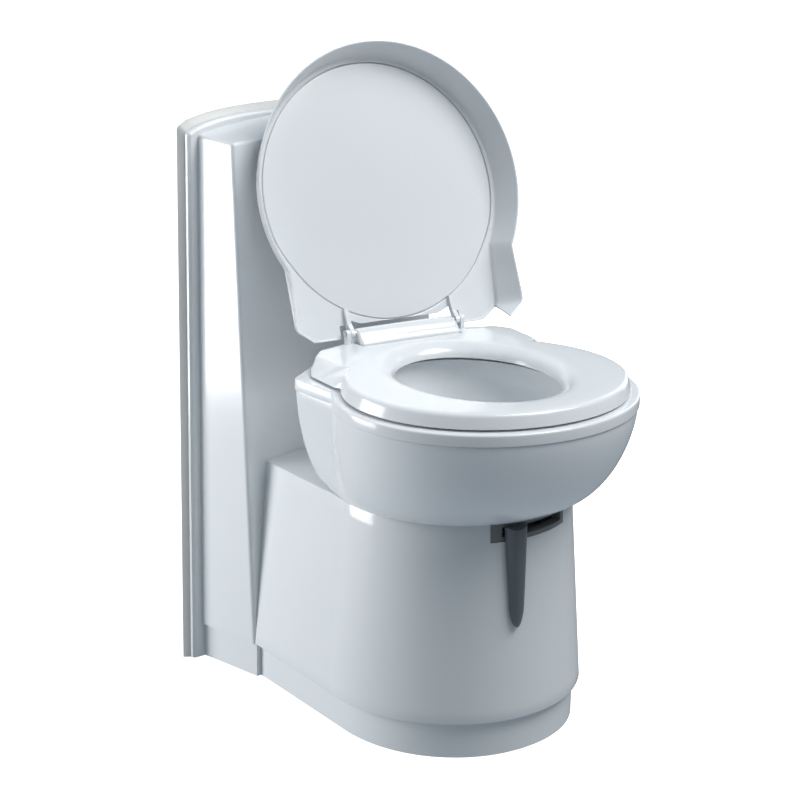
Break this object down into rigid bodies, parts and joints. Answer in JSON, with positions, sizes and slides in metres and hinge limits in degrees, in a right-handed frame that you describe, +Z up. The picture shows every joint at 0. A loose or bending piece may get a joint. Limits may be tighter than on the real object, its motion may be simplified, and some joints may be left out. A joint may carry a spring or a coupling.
{
  "type": "cassette toilet",
  "caption": "Swivel-bowl cassette toilet for a caravan, with lid and seat raised off a round pedestal, tall backrest with flush tank, and a waste cassette that slides out of the rear",
  "frame": {"origin": "on the bowl's swivel axis, at floor level", "axes": "+Z up; -Y is where a sitter faces when the bowl points straight ahead; +Y is the wall behind; +X is the sitter's left"},
  "size_m": [0.4423, 0.6058, 0.8841],
  "materials": {
    "gloss_white": "gloss moulded plastic",
    "warm_white": "satin plastic panel",
    "inner_white": "plain moulded plastic",
    "mid_grey": "satin grey plastic",
    "slate": "slate grey plastic",
    "tank_grey": "blow-moulded tank plastic",
    "rubber": "black rubber",
    "steel": "plain steel rod"
  },
  "bodies": {
    "base": {"rear_wall_panel": "warm_white", "backrest_housing": "gloss_white", "pedestal_shell": "gloss_white", "plinth": "gloss_white", "base_tray": "inner_white", "slot_bezel": "mid_grey", "mechanism_plate": "inner_white", "outlet_sleeve": "inner_white", "glide_ring": "inner_white", "water_tank": "tank_grey", "flush_pump": "mid_grey", "flush_hose": "tank_grey", "hose_union": "mid_grey"},
    "bowl": {"bowl_shell": "gloss_white", "bowl_rim": "gloss_white", "bowl_liner": "gloss_white", "retaining_ring": "inner_white", "hinge_block": "gloss_white", "hinge_pin_left": "steel", "hinge_pin_right": "steel", "rinse_nozzle": "inner_white"},
    "lid": {"lid_shell": "gloss_white", "lid_inner_disc": "gloss_white", "lid_bracket_left": "gloss_white", "lid_bracket_right": "gloss_white"},
    "seat": {"seat_ring": "gloss_white", "seat_bumper_1": "rubber", "seat_bumper_2": "rubber", "seat_bumper_3": "rubber", "seat_bumper_4": "rubber"},
    "lever": {"blade_lever": "slate", "drive_ring": "mid_grey"},
    "drive_shaft": {"blade_drive_shaft": "mid_grey"},
    "cassette": {"cassette_lower": "tank_grey", "cassette_upper": "tank_grey", "cassette_seal": "rubber", "wheel_axle": "steel"},
    "blade": {"cassette_blade": "mid_grey"},
    "cover": {"sliding_cover": "tank_grey"},
    "spout": {"pour_spout": "tank_grey"},
    "spout_cap_body": {"spout_cap": "slate"},
    "vent": {"vent_button": "slate"},
    "handle": {"trolley_handle": "slate"},
    "wheel_l": {"wheel_left": "rubber"},
    "wheel_r": {"wheel_right": "rubber"},
    "latch": {"cassette_latch": "slate"},
    "float": {"level_float": "rubber"},
    "filler": {"filler_cap": "tank_grey"}
  },
  "joints": [
    {"name": "bowl_swivel", "type": "hinge", "parent": "base", "child": "bowl", "pos_m": [0, 0, 0.3215], "axis": [0, 0, 1], "range_deg": [-81, 99]},
    {"name": "lid_hinge", "type": "hinge", "parent": "bowl", "child": "lid", "pos_m": [0.0201, 0.12692, 0.5076], "axis": [-0.9877, 0.1564, 0], "range_deg": [-109.6, 0]},
    {"name": "seat_hinge", "type": "hinge", "parent": "bowl", "child": "seat", "pos_m": [0.0201, 0.12692, 0.5076], "axis": [-0.9877, 0.1564, 0], "range_deg": [0, 105]},
    {"name": "lever_turn", "type": "hinge", "parent": "base", "child": "lever", "pos_m": [0, 0, 0.3], "axis": [0, 0, 1], "range_deg": [0, 28]},
    {"name": "drive_shaft_turn", "type": "hinge", "parent": "base", "child": "drive_shaft", "pos_m": [0.082, 0, 0.3], "axis": [0, 0, 1], "range_deg": [-80, 0]},
    {"name": "blade_turn", "type": "hinge", "parent": "cassette", "child": "blade", "pos_m": [0.082, 0, 0.19], "axis": [0, 0, 1], "range_deg": [-80, 0]},
    {"name": "cassette_slide", "type": "slide", "parent": "base", "child": "cassette", "axis": [0, 1, 0], "range_m": [0, 0.42]},
    {"name": "cover_slide", "type": "slide", "parent": "cassette", "child": "cover", "axis": [0, 1, 0], "range_m": [-0.126, 0]},
    {"name": "spout_turn", "type": "hinge", "parent": "cassette", "child": "spout", "pos_m": [-0.095, 0.278, 0.176], "axis": [0, 0, 1], "range_deg": [0, 90]},
    {"name": "spout_cap_turn", "type": "hinge", "parent": "spout", "child": "spout_cap_body", "pos_m": [0.0353, 0.278, 0.176], "axis": [1, 0, 0], "continuous": true},
    {"name": "vent_press", "type": "slide", "parent": "cassette", "child": "vent", "axis": [0, 0, -1], "range_m": [0, 0.004], "stiffness_N_per_m": 300, "springref_m": -0.002},
    {"name": "handle_pull", "type": "slide", "parent": "cassette", "child": "handle", "axis": [0, 1, 0], "range_m": [0, 0.2]},
    {"name": "wheel_left_roll", "type": "hinge", "parent": "cassette", "child": "wheel_l", "pos_m": [0, 0.27, 0.0256], "axis": [1, 0, 0], "continuous": true},
    {"name": "wheel_right_roll", "type": "hinge", "parent": "cassette", "child": "wheel_r", "pos_m": [0, 0.27, 0.0256], "axis": [1, 0, 0], "continuous": true},
    {"name": "latch_slide", "type": "slide", "parent": "base", "child": "latch", "axis": [0, 0, 1], "range_m": [-0.022, 0]},
    {"name": "float_swing", "type": "hinge", "parent": "cassette", "child": "float", "pos_m": [-0.1, -0.05, 0.175], "axis": [1, 0, 0], "range_deg": [-25, 20]},
    {"name": "filler_cap_turn", "type": "hinge", "parent": "base", "child": "filler", "pos_m": [0.095, 0.34, 0.685], "axis": [0, 1, 0], "continuous": true}
  ],
  "couplings": [
    {"joint": "drive_shaft_turn", "follows": "lever_turn", "ratio": -2.8571},
    {"joint": "blade_turn", "follows": "lever_turn", "ratio": -2.8571},
    {"joint": "cover_slide", "follows": "cassette_slide", "ratio": -0.3}
  ]
}
